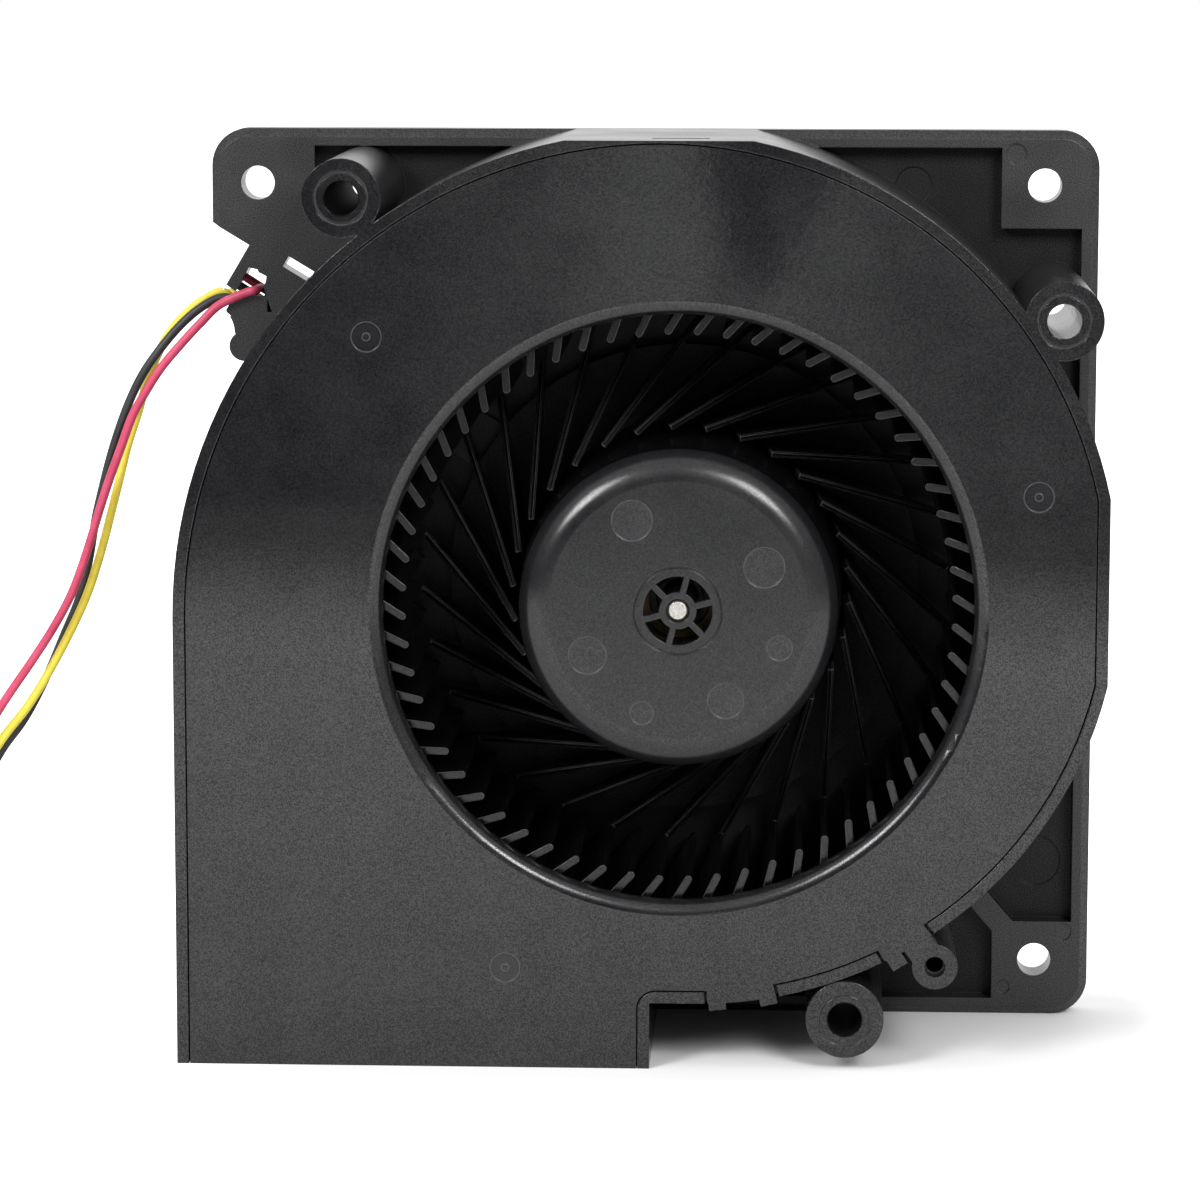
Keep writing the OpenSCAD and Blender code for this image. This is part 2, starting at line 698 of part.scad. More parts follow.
module shaft() {
    chamfer = 0.4;
    length = hub_z - 0.2 - shaft_z;
    color(steel) on_axis() translate([0, 0, shaft_z]) difference() {
        union() {
            cylinder(d = shaft_d, h = length - chamfer);
            translate([0, 0, length - chamfer])
                cylinder(d1 = shaft_d, d2 = shaft_d - 2 * chamfer, h = chamfer);
        }
        translate([0, 0, clip_groove_z - shaft_z]) ring(shaft_d, clip_groove_r, clip_t + 2 * fit);
    }
}

module rotor_yoke() {
    color(steel) on_axis() translate([0, 0, yoke_z]) difference() {
        cylinder(r = yoke_r, h = hub_inner_z - yoke_z);
        translate([0, 0, -over]) cylinder(r = yoke_in, h = hub_inner_z - yoke_z - yoke_t + over);
        cylinder(r = yoke_hole_r, h = case_d);
    }
}

module magnet_ring() {
    color(ferrite) on_axis() translate([0, 0, yoke_z + 0.5]) ring(magnet_out, magnet_in, magnet_len);
}

// Bearings: race grooves and balls on one pitch circle

ball_pitch_r = (bearing_od + shaft_d) / 4;
ball_d = (bearing_od - shaft_d) / 2 * 0.62;
race_t = (bearing_od - shaft_d) / 2 * 0.3;
ball_play = 0.03;
balls = 7;

module bearing_places() {
    for (z = [rear_bearing_z, front_bearing_z]) translate([0, 0, z]) children();
}

module race(inner, outer) {
    rotate_extrude() difference() {
        block([inner, 0], [outer, bearing_w]);
        translate([ball_pitch_r, bearing_w / 2]) circle(d = ball_d + 2 * ball_play);
    }
}

module bearing_outer_races() {
    color(steel) on_axis() bearing_places() race(bearing_od / 2 - race_t, bearing_od / 2);
}

module bearing_inner_races() {
    color(steel) on_axis() bearing_places() race(shaft_d / 2 + fit, shaft_d / 2 + race_t);
}

module bearing_balls() {
    color(steel) on_axis() bearing_places() for (i = [0 : balls - 1]) rotate(i * 360 / balls)
        translate([ball_pitch_r, 0, bearing_w / 2]) sphere(d = ball_d, $fn = 32);
}

module bearing_tube() {
    length = tube_top - tube_z;
    color(brass) on_axis() translate([0, 0, tube_z]) difference() {
        cylinder(r = tube_r, h = length);
        translate([0, 0, -over]) cylinder(r = bearing_ledge_r, h = length + 2 * over);
        translate([0, 0, -over]) cylinder(r = tube_bore, h = rear_bearing_z + bearing_w - tube_z + over);
        translate([0, 0, front_bearing_z - tube_z]) cylinder(r = tube_bore, h = length);
    }
}

// Tube of any route: one ring of points at each route point, square to the way the route runs
function unit(v) = v / norm(v);
function heading(route, i) = unit(route[min(i + 1, len(route) - 1)] - route[max(i - 1, 0)]);

module swept_tube(route, d, sides, side_on) {
    count = len(route);
    points = [for (i = [0 : count - 1]) let (t = heading(route, i), u = unit(cross(t, side_on)), v = cross(t, u))
        for (k = [0 : sides - 1]) let (a = k * 360 / sides) route[i] + d / 2 * (cos(a) * u + sin(a) * v)];
    walls = [for (i = [0 : count - 2], k = [0 : sides - 1]) let (a = i * sides + k, b = i * sides + (k + 1) % sides)
        [a, a + sides, b + sides, b]];
    ends = [[for (k = [0 : sides - 1]) k], [for (k = [sides - 1 : -1 : 0]) (count - 1) * sides + k]];
    polyhedron(points, concat(walls, ends), convexity = 10);
}

// Two disc springs, back to back, between the front bearing and the hub's collar
module preload_spring() {
    low = front_bearing_z + bearing_w + fit;
    inner = shaft_d / 2 + 0.1;
    outer = shaft_d / 2 + race_t;
    color(steel) on_axis() translate([0, 0, low]) rotate_extrude()
        polygon([[inner, 0], [inner, spring_t], [outer - spring_t, spring_h / 2], [inner, spring_h - spring_t],
            [inner, spring_h], [inner + spring_t, spring_h], [outer, spring_h / 2], [inner + spring_t, 0]]);
}

module retaining_clip() {
    outer = shaft_d / 2 + 1.3;
    color(steel) on_axis() translate([0, 0, clip_groove_z + fit]) difference() {
        cylinder(r = outer, h = clip_t);
        translate([0, 0, -over]) cylinder(r = clip_groove_r + fit, h = clip_t + 2 * over);
        translate([0, -clip_groove_r, -over]) cube([outer + over, 2 * clip_groove_r, clip_t + 2 * over]);
    }
}

// Stator

module pole_turns() {
    for (i = [0 : poles - 1]) rotate(i * 360 / poles) children();
}

module core_outline(bore) {
    core_hub_r = tube_r + core_hub_t;
    half = pole_span_a / 2;
    reach = 2 * stator_r;
    difference() {
        union() {
            circle(core_hub_r);
            pole_turns() block([0, -pole_neck_w / 2], [stator_r - shoe_t / 2, pole_neck_w / 2]);
            pole_turns() intersection() {
                difference() {
                    circle(stator_r);
                    circle(stator_r - shoe_t);
                }
                polygon([[0, 0], reach * [cos(half), -sin(half)], reach * [cos(half), sin(half)]]);
            }
        }
        circle(bore);
    }
}

module stator_core() {
    color(steel) on_axis() translate([0, 0, stack_z]) linear_extrude(stack_h) core_outline(tube_r + fit);
}

// Insulator cap: a thin copy of the sheet outline with spool walls down both sides of each neck
module insulator() {
    wall_y = pole_neck_w / 2 + fit;
    cap_x = tube_r + core_hub_t / 2;
    linear_extrude(insulator_t) {
        core_outline(tube_r + fit);
        pole_turns() block([cap_x, -wall_y - spool_wall], [coil_out_r, wall_y + spool_wall]);
    }
    pole_turns() for (y = [wall_y, -wall_y - spool_wall]) translate([coil_in_r, y, spool_gap - stack_h / 2])
        cube([coil_out_r - coil_in_r, spool_wall, stack_h / 2 - spool_gap + insulator_t]);
}

module front_insulator() {
    color(nylon) on_axis() translate([0, 0, stack_z + stack_h]) insulator();
}

module rear_insulator() {
    color(nylon) on_axis() translate([0, 0, stack_z]) mirror([0, 0, 1]) insulator();
}

module stator_windings() {
    low = stack_z - insulator_t - fit;
    inner_h = stack_h + 2 * insulator_t + 2 * fit;
    length = coil_out_r - coil_in_r;
    color(copper) on_axis() pole_turns() translate([coil_in_r, 0, low]) difference() {
        translate([0, -coil_half_w, -coil_over]) cube([length, 2 * coil_half_w, inner_h + 2 * coil_over]);
        translate([-over, -spool_half_w, 0]) cube([length + 2 * over, 2 * spool_half_w, inner_h]);
    }
}

pin_r = 0.35;
pin_place = 7;
module pin_places() {
    pole_turns() rotate(180 / poles) translate([pin_place, 0, 0]) children();
}

module terminal_pins() {
    low = board_z + fit;
    color(copper) on_axis() translate([0, 0, low]) pin_places()
        cylinder(r = pin_r, h = stack_z - insulator_t - low);
}

// Board and the parts on it

module circuit_board() {
    color(board_green) on_axis() translate([0, 0, board_z]) difference() {
        ring(board_r, tube_r + fit, board_t);
        translate([0, 0, -over]) pin_places() cylinder(r = pin_r + fit, h = board_t + 2 * over);
    }
}

board_top = board_z + board_t;

// Places on the board, as [angle, distance from the axis]
sensor_place = [45, 13];
chip_place = [225, 11.6];
part_places = [[300, 12.6], [315, 12.6], [330, 12.6]];

module on_board(place) {
    on_axis() rotate(place[0]) translate([place[1], 0, board_top]) children();
}

module hall_sensor() {
    size = [1.6, 3, 1.5];
    color(chip_black) on_board(sensor_place) translate([-size[0] / 2, -size[1] / 2, 0]) cube(size);
}

module drive_chip() {
    size = [3.9, 4.9, 1.5];
    color(chip_black) on_board(chip_place) translate([-size[0] / 2, -size[1] / 2, 0]) cube(size);
}

module board_parts() {
    size = [2, 1.2, 0.9];
    color(nylon) for (place = part_places) on_board(place) translate([-size[0] / 2, -size[1] / 2, 0]) cube(size);
}

// Leads

module lead_tail(route) {
    stand() swept_tube(route, lead_d, lead_sides, concat(across, 0));
}

module lead_tail_red() {
    color(lead_red) lead_tail(tail_route(lane, red_exit));
}

module lead_tail_yellow() {
    color(lead_yellow) lead_tail(tail_route(-lane, yellow_exit));
}

module lead_tail_black() {
    color(lead_black) lead_tail(tail_route(0, black_exit));
}

module free_lead(route, end) {
    swept_tube(route, lead_d, lead_sides, [0, 1, 0]);
    swept_tube(end, lead_d, lead_sides, [0, 1, 0]);
}

module wire_red() {
    color(lead_red) free_lead(free_route(red_points, red_exit), red_end);
}

module wire_yellow() {
    color(lead_yellow) free_lead(free_route(yellow_points, yellow_exit), yellow_end);
}

module wire_black() {
    color(lead_black) free_lead(free_route(black_points, black_exit), black_end);
}

module wire_coil() {
    color(lead_red) translate(concat(coil_place, coil_rest)) ring(coil_outer_r, coil_inner_r, coil_h);
}

// Band round the coil's section, on the side away from the blower
module coil_tie() {
    near = sqrt(coil_inner_r * coil_inner_r - tie_w * tie_w / 4) - tie_play;
    far = coil_outer_r + tie_play;
    low = coil_rest - tie_t;
    high = coil_rest + coil_h + tie_t;
    color(lead_black) translate([coil_place[0], coil_place[1] + tie_w / 2, 0]) rotate([90, 0, 0]) linear_extrude(tie_w)
        difference() {
            block([-far - tie_t, low], [-near + tie_t, high]);
            block([-far, coil_rest], [-near, coil_rest + coil_h]);
        }
}

module contact_places() {
    for (i = [-1, 0, 1]) translate([connector_place[0], connector_place[1] + i * connector_pitch, contact_z]) children();
}

module connector_body() {
    cavity = contact_w + 2 * contact_play;
    color(nylon) difference() {
        translate([connector_place[0], connector_place[1] - connector_size[1] / 2, 0]) cube(connector_size);
        contact_places() translate([-over, -cavity / 2, -cavity / 2]) cube([connector_size[0] + 2 * over, cavity, cavity]);
    }
}

module connector_contacts() {
    tail = 1.7;
    socket = 0.7;
    color(brass) contact_places() difference() {
        translate([tail, -contact_w / 2, -contact_w / 2]) cube([contact_len, contact_w, contact_w]);
        translate([tail + 2, -socket / 2, -socket / 2]) cube([contact_len, socket, socket]);
    }
}

housing();
front_cover();
impeller();
shaft();
rotor_yoke();
magnet_ring();
bearing_tube();
bearing_outer_races();
bearing_inner_races();
bearing_balls();
preload_spring();
retaining_clip();
stator_core();
front_insulator();
rear_insulator();
stator_windings();
terminal_pins();
circuit_board();
hall_sensor();
drive_chip();
board_parts();
lead_tail_red();
lead_tail_yellow();
lead_tail_black();
wire_red();
wire_yellow();
wire_black();
wire_coil();
coil_tie();
connector_body();
connector_contacts();
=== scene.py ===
"""Looks of the centrifugal blower: camera, free leads, bearing shields, finishes and studio."""

import json
import math

import bpy
from mathutils import Matrix, Vector


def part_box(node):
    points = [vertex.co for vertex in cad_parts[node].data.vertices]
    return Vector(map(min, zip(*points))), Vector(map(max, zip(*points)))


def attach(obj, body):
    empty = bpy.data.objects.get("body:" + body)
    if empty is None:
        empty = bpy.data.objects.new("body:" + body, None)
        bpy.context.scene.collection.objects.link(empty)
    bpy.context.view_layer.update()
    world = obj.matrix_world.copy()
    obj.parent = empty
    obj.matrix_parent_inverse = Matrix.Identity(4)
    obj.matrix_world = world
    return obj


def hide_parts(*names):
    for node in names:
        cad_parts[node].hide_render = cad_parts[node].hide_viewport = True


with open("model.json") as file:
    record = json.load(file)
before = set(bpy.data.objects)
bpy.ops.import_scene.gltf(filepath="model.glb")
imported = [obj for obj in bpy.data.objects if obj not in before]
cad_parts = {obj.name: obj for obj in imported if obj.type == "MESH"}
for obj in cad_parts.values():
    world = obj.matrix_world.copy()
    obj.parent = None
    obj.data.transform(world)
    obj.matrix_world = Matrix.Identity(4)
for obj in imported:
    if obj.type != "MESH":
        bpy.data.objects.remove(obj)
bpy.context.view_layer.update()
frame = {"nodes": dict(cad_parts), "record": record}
nodes = frame["nodes"]
MM = 0.001

# The rotor's axis, as x and z in millimetres
AXIS = (5, 60)


# Camera


def add_camera():
    """The camera that the photograph was taken from, fitted to the casing's outlines."""
    right = Vector((0.99906, 0.04344, 0.00139))
    down = Vector((0.00758, -0.14272, -0.98973))
    ahead = Vector((-0.04279, 0.98881, -0.14292))
    place = (0.02072, -0.61199, 0.14713)
    data = bpy.data.cameras.new("camera")
    data.sensor_width = 36
    data.lens = 140.565
    data.clip_start = 0.01
    data.clip_end = 50
    camera = bpy.data.objects.new("camera", data)
    turn = Matrix((right, -down, -ahead)).transposed().to_4x4()
    camera.matrix_world = Matrix.Translation(place) @ turn
    bpy.context.scene.collection.objects.link(camera)
    bpy.context.scene.camera = camera


# Free leads

LEAD_D = 1.2 * MM
CASE_D = 38
COIL_CENTRE = (-122, 25.4)
COIL_START_R = 9
COIL_PITCH = 1.75
COIL_TURNS = 2.5
COIL_STEPS = 30
COIL_LEAD_IN = (4.5, 2.2)
COIL_DIP = 0.3
COIL_DROP_TURN = 0.4
WINDOW = Vector((-5.3, 67))
GROOVE_END = Vector((-53.1, 97.2))
LANE = 1.4
CURVE_STEPS = 6

# Route points in millimetres, the same as in the construction, and the height of each lead in the coil
LEADS = {
    "red": {
        "lane": LANE,
        "rise": 6,
        "coil_z": 4.4,
        "route": [(-57.5, 13, 96.4), (-60, 12.5, 94), (-62.6, 12.2, 91.2), (-65.3, 12, 88), (-67.4, 12, 84.8),
                  (-69.3, 12, 81.4), (-70.8, 12, 77.4), (-72.3, 12, 73.4), (-73.8, 12, 69), (-75.7, 12, 63),
                  (-77.8, 12, 57.4), (-80.4, 12, 52.6), (-83.4, 12, 48), (-87.4, 12, 42.2),
                  (-91.6, 12.4, 35.4), (-96, 13.4, 27.8), (-100.6, 14.8, 20.2), (-106, 15.7, 14.3),
                  (-113, 16.4, 10.2)],
        "end": [(-115.1, 38.9, 4.6), (-112.6, 39.5, 4.4), (-109.3, 40.3, 2.8), (-106.7, 40.4, 2.6)],
    },
    "yellow": {
        "lane": -LANE,
        "rise": 2.2,
        "coil_z": 2.75,
        "route": [(-57.5, 16.8, 97.9), (-60.4, 16.5, 96.6), (-62.8, 16.2, 94.6), (-64.8, 16, 92.2),
                  (-66.4, 16, 89.2), (-67.8, 16, 85.8), (-69, 15.8, 81.6), (-70.4, 15.2, 77.2),
                  (-71.4, 14.6, 73), (-72.4, 14.2, 69), (-74, 14, 63), (-76, 14, 57), (-78.6, 14, 51.4),
                  (-81.6, 14, 45.9), (-84.6, 14, 41.2), (-88.2, 14, 36.6), (-92, 14.2, 30.4),
                  (-96.2, 14.8, 23.6), (-100.6, 15.6, 17), (-106, 16.2, 11.6), (-113, 16.4, 8.3)],
        "end": [(-115.1, 38.8, 2.75), (-112.6, 38.6, 2.7), (-109.3, 37.8, 2.6), (-106.7, 37.9, 2.6)],
    },
    "black": {
        "lane": 0,
        "rise": 3.6,
        "coil_z": 1.1,
        "route": [(-57.5, 15.4, 97.2), (-60.2, 15, 95.9), (-62.9, 14.6, 93.6), (-65.5, 14.2, 90.6),
                  (-67.8, 14, 87.4), (-69.6, 14, 84), (-71.2, 14, 80), (-72.6, 14.2, 75.8),
                  (-73.8, 14.8, 71.6), (-75, 15.6, 67), (-76, 16, 61.6), (-77.4, 16, 56.2), (-79.6, 16, 51),
                  (-82.2, 16, 45), (-85.2, 16, 39.4), (-88.4, 16, 35), (-91.8, 16.4, 29),
                  (-95.8, 16.6, 21.8), (-100.2, 16.6, 14.8), (-105.8, 16.4, 9.2), (-113, 16.4, 6.4)],
        "end": [(-115.1, 38.8, 1.1), (-112.6, 37.7, 1.2), (-109.3, 35.4, 2.4), (-106.7, 35.4, 2.6)],
    },
}


def tail_points(lead):
    """Points of a lead's held end: from the circuit board, along the rear groove and up into the clip."""
    way = (GROOVE_END - WINDOW).normalized()
    aside = Vector((way.y, -way.x)) * lead["lane"]
    start = WINDOW + aside
    end = GROOVE_END + aside
    # Places in the plane of the rear face, each with its height above that face
    flat = [
        (start, 8),
        (start, 2),
        (start + 1.2 * way, 0.8),
        (end - 1.2 * way, 0.8),
        (end, 1.4),
        (end + Vector((-0.3, 0)), lead["rise"] - 0.3),
        (end + Vector((-1.5, -0.3)), lead["rise"]),
    ]
    return [Vector((place.x, CASE_D / 2 - height, place.y)) for place, height in flat]


def coil_points(lead, arrive_z):
    """Points of a lead's turns on the floor: over the outer turns, down inside them, then outwards."""
    points = []
    x, y = COIL_CENTRE
    top = arrive_z - COIL_DIP
    for ahead in COIL_LEAD_IN:
        points.append(Vector((x + ahead, y - COIL_START_R, top)))
    for i in range(int(COIL_TURNS * COIL_STEPS) + 1):
        turn = i / COIL_STEPS
        angle = -math.pi / 2 - turn * 2 * math.pi
        r = COIL_START_R + COIL_PITCH * turn
        drop = min(1, turn / COIL_DROP_TURN)
        drop = drop * drop * (3 - 2 * drop)
        z = top + (lead["coil_z"] - top) * drop
        points.append(Vector((x + r * math.cos(angle), y + r * math.sin(angle), z)))
    return points


def smooth(points):
    """A smooth line through every point."""
    line = []
    for i in range(len(points) - 1):
        a = points[max(i - 1, 0)]
        b = points[i]
        c = points[i + 1]
        d = points[min(i + 2, len(points) - 1)]
        for k in range(CURVE_STEPS):
            t = k / CURVE_STEPS
            line.append(0.5 * (2 * b + (c - a) * t + (2 * a - 5 * b + 4 * c - d) * t * t
                               + (3 * b - a - 3 * c + d) * t ** 3))
    line.append(points[-1])
    return line


def add_tube(name, line, material):
    """A round tube along a line in millimetres, as a curve with one open spline."""
    curve = bpy.data.curves.new(name, "CURVE")
    curve.dimensions = "3D"
    curve.bevel_depth = LEAD_D / 2
    curve.bevel_resolution = 4
    curve.use_fill_caps = True
    spline = curve.splines.new("POLY")
    spline.points.add(len(line) - 1)
    for point, place in zip(spline.points, line):
        point.co = (place.x * MM, place.y * MM, place.z * MM, 1)
    spline.use_smooth = True
    curve.materials.append(material)
    tube = bpy.data.objects.new(name, curve)
    bpy.context.scene.collection.objects.link(tube)
    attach(tube, "casing")
    return tube


def add_leads(materials):
    """The three leads, each as a held end in the casing and a free cord to the connector."""
    for colour, lead in LEADS.items():
        held = tail_points(lead)
        free = [Vector(p) for p in lead["route"]]
        last = [Vector(p) for p in lead["end"]]
        line = smooth(held + free + coil_points(lead, free[-1].z) + last)
        split = CURVE_STEPS * len(held)
        tail = add_tube(f"{colour}_lead_tail", line[:split + 1], materials[f"lead_{colour}"])
        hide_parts(f"lead_tail_{colour}")
        cord = add_tube(f"{colour}_lead", line[split:], materials[f"lead_{colour}"])
        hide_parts(f"wire_{colour}")
        if colour == "red":
            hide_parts("wire_coil")


# Bearing shields

# Turned profile: radius, and depth from the race's end, in millimetres
SHIELD = [(3.28, 0.5), (3.28, 0.06), (3.1, 0.04), (2.95, 0.2),
          (2.4, 0.2), (2.4, 0.34), (2.9, 0.34), (3.02, 0.5)]
SHIELD_STEPS = 72


def add_shields(material):
    """Pressed shields in the outer ends of the two bearings."""
    low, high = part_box("bearing_outer_races")
    points = []
    faces = []
    for end, inward in ((low[1], 1), (high[1], -1)):
        first = len(points)
        for i in range(SHIELD_STEPS):
            turn = 2 * math.pi * i / SHIELD_STEPS
            for radius, depth in SHIELD:
                x = (AXIS[0] + radius * math.cos(turn)) * MM
                z = (AXIS[1] + radius * math.sin(turn)) * MM
                points.append((x, end + inward * depth * MM, z))
        for i in range(SHIELD_STEPS):
            here = first + i * len(SHIELD)
            there = first + (i + 1) % SHIELD_STEPS * len(SHIELD)
            for j in range(len(SHIELD)):
                k = (j + 1) % len(SHIELD)
                quad = (here + j, here + k, there + k, there + j)
                faces.append(quad[::-1] if inward > 0 else quad)
    mesh = bpy.data.meshes.new("bearing_shields")
    mesh.from_pydata(points, [], faces)
    mesh.materials.append(material)
    shields = bpy.data.objects.new("bearing_shields", mesh)
    bpy.context.scene.collection.objects.link(shields)
    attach(shields, "casing")


# Shader nodes

# Colour sockets of a Mix node, which share their names with those of other types
MIX_FACTOR = 0
MIX_BELOW = 6
MIX_ABOVE = 7
MIX_RESULT = 2

# Values between which most of a noise lies
NOISE_LOW = 0.3
NOISE_HIGH = 0.7

# How far inside a round mark's rim the mark fades
MARK_FADE_MM = 0.15

# Cosines of the lean of a rounded edge at which the edge counts in full and not at all
EDGE_LEAN = (0.8, 0.97)

# Shares of the dark and the light colour in deep shade and in pale marks
DEEP_SHADE = 0.3
PALE_MARK = 1.8


class NodeTree:
    """The nodes of one material or world, built up a step at a time."""

    def __init__(self, tree):
        self.tree = tree

    def node(self, kind, inputs=(), **settings):
        """A new node with its settings, and its inputs linked or set to constants."""
        made = self.tree.nodes.new(kind)
        for key, value in settings.items():
            setattr(made, key, value)
        for key, value in dict(inputs).items():
            self.connect(value, made.inputs[key])
        return made

    def connect(self, value, target):
        if isinstance(value, bpy.types.NodeSocket):
            self.tree.links.new(value, target)
        else:
            target.default_value = value

    def maths(self, operation, a, b=0.0):
        return self.node("ShaderNodeMath", {0: a, 1: b}, operation=operation).outputs["Value"]

    def vector(self, operation, a, b=(0, 0, 0), result="Vector"):
        return self.node("ShaderNodeVectorMath", {0: a, 1: b}, operation=operation).outputs[result]

    def axis(self, vector, name):
        return self.node("ShaderNodeSeparateXYZ", {"Vector": vector}).outputs[name]

    def span(self, value, low, high, start=NOISE_LOW, end=NOISE_HIGH, curve="LINEAR"):
        """Value mapped from start..end to low..high, held at both ends."""
        inputs = {"Value": value, "From Min": start, "From Max": end, "To Min": low, "To Max": high}
        return self.node("ShaderNodeMapRange", inputs, interpolation_type=curve).outputs["Result"]


class Finish(NodeTree):
    """A material with one principled shader."""

    def __init__(self, name, metallic=0.0, specular=0.5):
        self.material = bpy.data.materials.new(name)
        self.material.use_nodes = True
        super().__init__(self.material.node_tree)
        self.shader = self.tree.nodes["Principled BSDF"]
        self.feed("Metallic", metallic)
        self.feed("Specular IOR Level", specular)
        coords = self.node("ShaderNodeTexCoord")
        self.place = coords.outputs["Object"]
        self.facing = coords.outputs["Normal"]
        self.normal = None

    def feed(self, name, value):
        """Sets one input of the shader."""
        self.connect(value, self.shader.inputs[name])

    def noise(self, size_mm, detail=2.0, stretch=(1, 1, 1)):
        """Noise whose features are about size_mm across, longer along an axis where stretch is larger."""
        scale = tuple(1 / (size_mm * MM * s) for s in stretch)
        moved = self.node("ShaderNodeMapping", {"Vector": self.place, "Scale": scale}).outputs["Vector"]
        inputs = {"Vector": moved, "Scale": 1.0, "Detail": detail}
        return self.node("ShaderNodeTexNoise", inputs).outputs["Fac"]

    def beyond(self, centre, half):
        """Distance from a box, given its centre and half of its size in metres."""
        offset = self.vector("ABSOLUTE", self.vector("SUBTRACT", self.place, centre))
        past = self.vector("MAXIMUM", self.vector("SUBTRACT", offset, half))
        return self.vector("LENGTH", past, result="Value")

    def depth(self, start_mm, end_mm, most=1.0):
        """Rises from 0 at one y place to most at another."""
        return self.span(self.axis(self.place, "Y"), 0.0, most, start_mm * MM, end_mm * MM)

    def outside(self, mask):
        return self.maths("SUBTRACT", 1.0, mask)

    def rounds(self, places, line_mm=None):
        """1 on round marks at (x, z, radius) in millimetres and 0 elsewhere, or only on their outlines."""
        flat = self.vector("MULTIPLY", self.place, (1, 0, 1))
        mask = 0.0
        for x, z, radius in places:
            gap = self.vector("DISTANCE", flat, (x * MM, 0, z * MM), result="Value")
            if line_mm is None:
                one = self.span(gap, 1.0, 0.0, (radius - MARK_FADE_MM) * MM, radius * MM)
            else:
                off = self.maths("ABSOLUTE", self.maths("SUBTRACT", gap, radius * MM))
                one = self.span(off, 1.0, 0.0, line_mm * MM * 0.5, line_mm * MM)
            mask = self.maths("MAXIMUM", one, mask)
        return mask

    def rounded(self, radius_mm):
        """Normal of the surface with its edges rounded to this radius."""
        return self.node("ShaderNodeBevel", {"Radius": radius_mm * MM}, samples=4).outputs["Normal"]

    def edges(self, radius_mm):
        """Rises to 1 along sharp edges."""
        flat = self.node("ShaderNodeNewGeometry").outputs["True Normal"]
        same = self.vector("DOT_PRODUCT", self.rounded(radius_mm), flat, result="Value")
        return self.span(same, 1.0, 0.0, *EDGE_LEAN)

    def colour(self, dark, light, value):
        """Base colour that runs from dark to light with value, and on to deep shade and to pale marks."""
        made = self.node("ShaderNodeValToRGB", {"Fac": value})
        stops = made.color_ramp.elements
        stops[0].position = 0.0
        stops[0].color = (*(DEEP_SHADE * c for c in dark), 1)
        stops[1].position = 1.0
        stops[1].color = (*(min(1, PALE_MARK * c) for c in light), 1)
        stops.new(NOISE_LOW).color = (*dark, 1)
        stops.new(NOISE_HIGH).color = (*light, 1)
        self.feed("Base Color", made.outputs["Color"])

    def over(self, colour, mask):
        """Another base colour where mask is 1."""
        below = self.shader.inputs["Base Color"].links[0].from_socket
        inputs = {MIX_FACTOR: mask, MIX_BELOW: below, MIX_ABOVE: (*colour, 1)}
        self.feed("Base Color", self.node("ShaderNodeMix", inputs, data_type="RGBA").outputs[MIX_RESULT])

    def soften(self, radius_mm):
        """Edges shaded as if rounded to this radius."""
        self.normal = self.rounded(radius_mm)

    def bump(self, height, strength, distance_mm):
        inputs = {"Height": height, "Strength": strength, "Distance": distance_mm * MM}
        if self.normal is not None:
            inputs["Normal"] = self.normal
        self.normal = self.node("ShaderNodeBump", inputs).outputs["Normal"]

    def done(self):
        if self.normal is not None:
            self.feed("Normal", self.normal)
        return self.material


# Finishes

# Sizes of the plastic's grain, of the mottle in its colour, of its uneven sheen and of its ripple
GRAIN_MM = 0.15
MOTTLE_MM = 7
SHEEN_MM = 14
RIPPLE_MM = 1.2

# Moulding marks are rougher discs. They and other outlines get pale lines on their rims: the rims are real,
# the paleness is a painted highlight
MARK_TONE = 0.3
MARK_ROUGHNESS = 0.08
RIM_HIGHLIGHT_MM = 0.12
RIM_HIGHLIGHT_COLOUR = (0.05, 0.05, 0.052)
# Painted highlights along sharp edges
EDGE_HIGHLIGHT_MM = 0.12
EDGE_HIGHLIGHT_COLOUR = (0.12, 0.12, 0.125)

# What the masks do in full: shade and sleek take this off the tone, dull takes this share of the gloss and
# raises the roughness to this, and sleek leaves this share of the roughness
SHADE_TONE = 0.5
SLEEK_TONE = 0.15
DULL_GLOSS = 0.8
DULL_ROUGHNESS = 0.7
SLEEK_ROUGHNESS = 0.12


